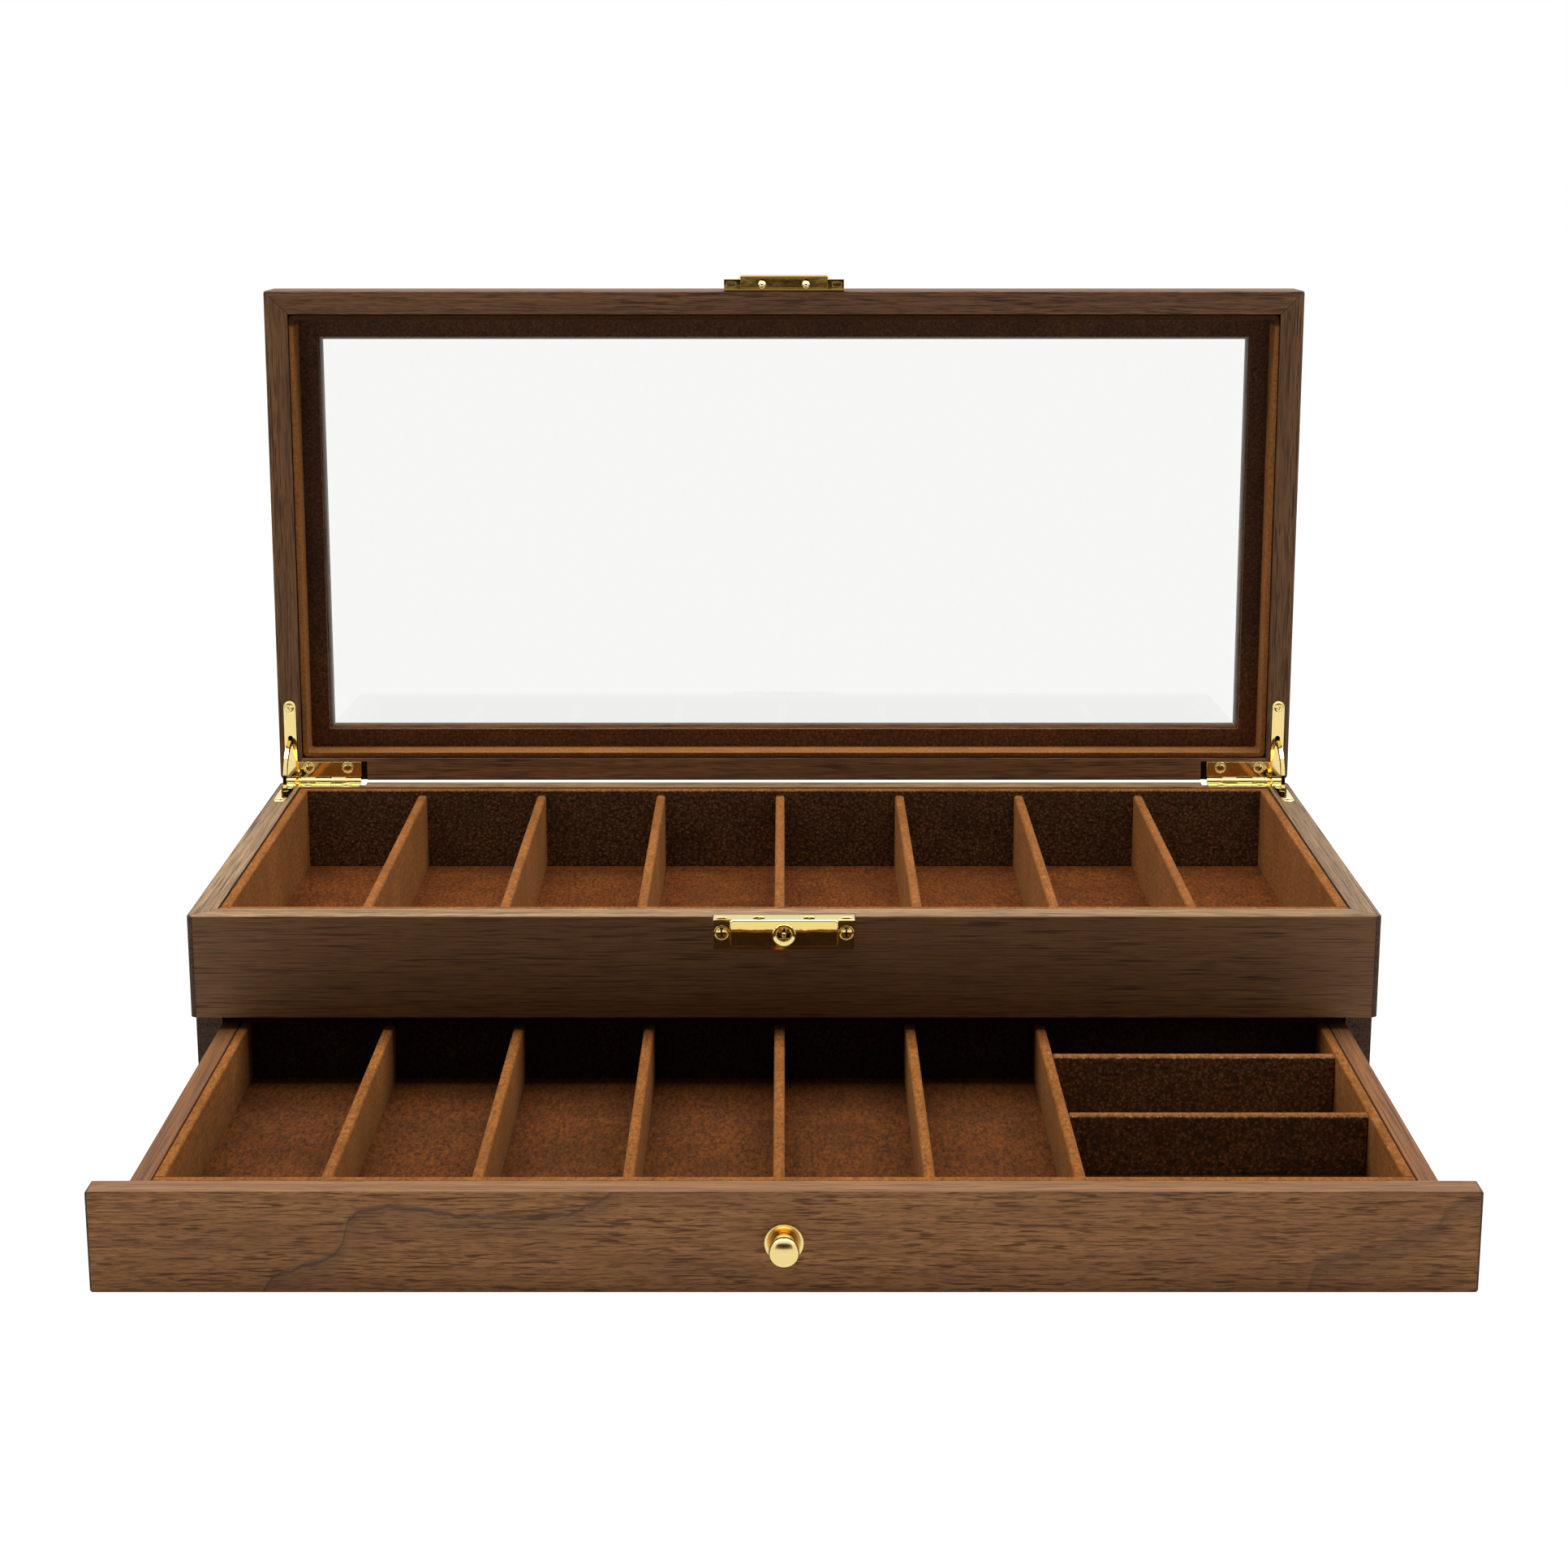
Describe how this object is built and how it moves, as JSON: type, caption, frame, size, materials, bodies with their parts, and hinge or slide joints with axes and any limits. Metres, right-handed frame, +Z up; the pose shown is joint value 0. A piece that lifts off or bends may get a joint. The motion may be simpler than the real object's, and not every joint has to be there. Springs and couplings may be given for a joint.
{
  "type": "knife display case",
  "caption": "Walnut display case with a divided tray under a glazed lid on quadrant stop hinges, a box lock, and a divided drawer below.",
  "frame": {"origin": "centre of the underside of the case", "axes": "+X to the right as seen from the front, +Y to the back, +Z up; the drawer pulls out along -Y"},
  "size_m": [0.4, 0.3854, 0.2671],
  "materials": {
    "walnut": "satin lacquered veneer",
    "walnut_front": "satin lacquered veneer",
    "suede": "short-napped suede over board",
    "gilt_brass": "polished gilt plate",
    "satin_brass": "satin",
    "glass": "polished",
    "felt": "felt"
  },
  "bodies": {
    "case": {"case_left_side": "walnut", "case_right_side": "walnut", "case_back": "walnut", "case_front": "walnut_front", "case_shelf": "walnut", "case_bottom": "walnut", "base_felt": "felt", "case_floor_lining": "suede", "case_lining_front": "suede", "case_lining_back": "suede", "case_lining_left": "suede", "case_lining_right": "suede", "case_divider_1": "suede", "case_divider_2": "suede", "case_divider_3": "suede", "case_divider_4": "suede", "case_divider_5": "suede", "case_divider_6": "suede", "case_divider_7": "suede", "lock_housing": "gilt_brass", "left_case_leaf": "gilt_brass", "right_case_leaf": "gilt_brass", "left_hinge_pin": "gilt_brass", "right_hinge_pin": "gilt_brass"},
    "lid": {"lid_left_rail": "walnut", "lid_right_rail": "walnut", "lid_front_rail": "walnut", "lid_back_rail": "walnut", "glass_pane": "glass", "glass_retainer": "suede", "lid_lining": "suede", "left_lid_leaf": "gilt_brass", "right_lid_leaf": "gilt_brass", "catch_plate": "gilt_brass"},
    "drawer": {"drawer_front": "walnut_front", "drawer_left_side": "walnut", "drawer_right_side": "walnut", "drawer_inner_front": "walnut", "drawer_back": "walnut", "drawer_bottom": "walnut", "drawer_floor_lining": "suede", "drawer_lining_front": "suede", "drawer_lining_back": "suede", "drawer_lining_left": "suede", "drawer_lining_right": "suede", "drawer_divider_1": "suede", "drawer_divider_2": "suede", "drawer_divider_3": "suede", "drawer_divider_4": "suede", "drawer_divider_5": "suede", "drawer_divider_6": "suede", "drawer_cross_divider_1": "suede", "drawer_cross_divider_2": "suede", "drawer_knob": "satin_brass", "knob_screw": "gilt_brass"},
    "left_stay": {"left_lid_stay": "gilt_brass"},
    "right_stay": {"right_lid_stay": "gilt_brass"},
    "bolt": {"lock_bolt": "gilt_brass"}
  },
  "joints": [
    {"name": "lid_hinge", "type": "hinge", "parent": "case", "child": "lid", "pos_m": [0, 0.0964, 0.06895], "axis": [1, 0, 0], "range_deg": [0, 91.5]},
    {"name": "left_stay_swing", "type": "hinge", "parent": "case", "child": "left_stay", "pos_m": [0, 0.0964, 0.06895], "axis": [1, 0, 0], "range_deg": [0, 45.75]},
    {"name": "right_stay_swing", "type": "hinge", "parent": "case", "child": "right_stay", "pos_m": [0, 0.0964, 0.06895], "axis": [1, 0, 0], "range_deg": [0, 45.75]},
    {"name": "drawer_slide", "type": "slide", "parent": "case", "child": "drawer", "axis": [0, -1, 0], "range_m": [-0.1565, 0]},
    {"name": "bolt_slide", "type": "slide", "parent": "case", "child": "bolt", "axis": [1, 0, 0], "range_m": [0, 0.0013]}
  ],
  "couplings": [
    {"joint": "left_stay_swing", "follows": "lid_hinge", "ratio": 0.5},
    {"joint": "right_stay_swing", "follows": "lid_hinge", "ratio": 0.5}
  ]
}
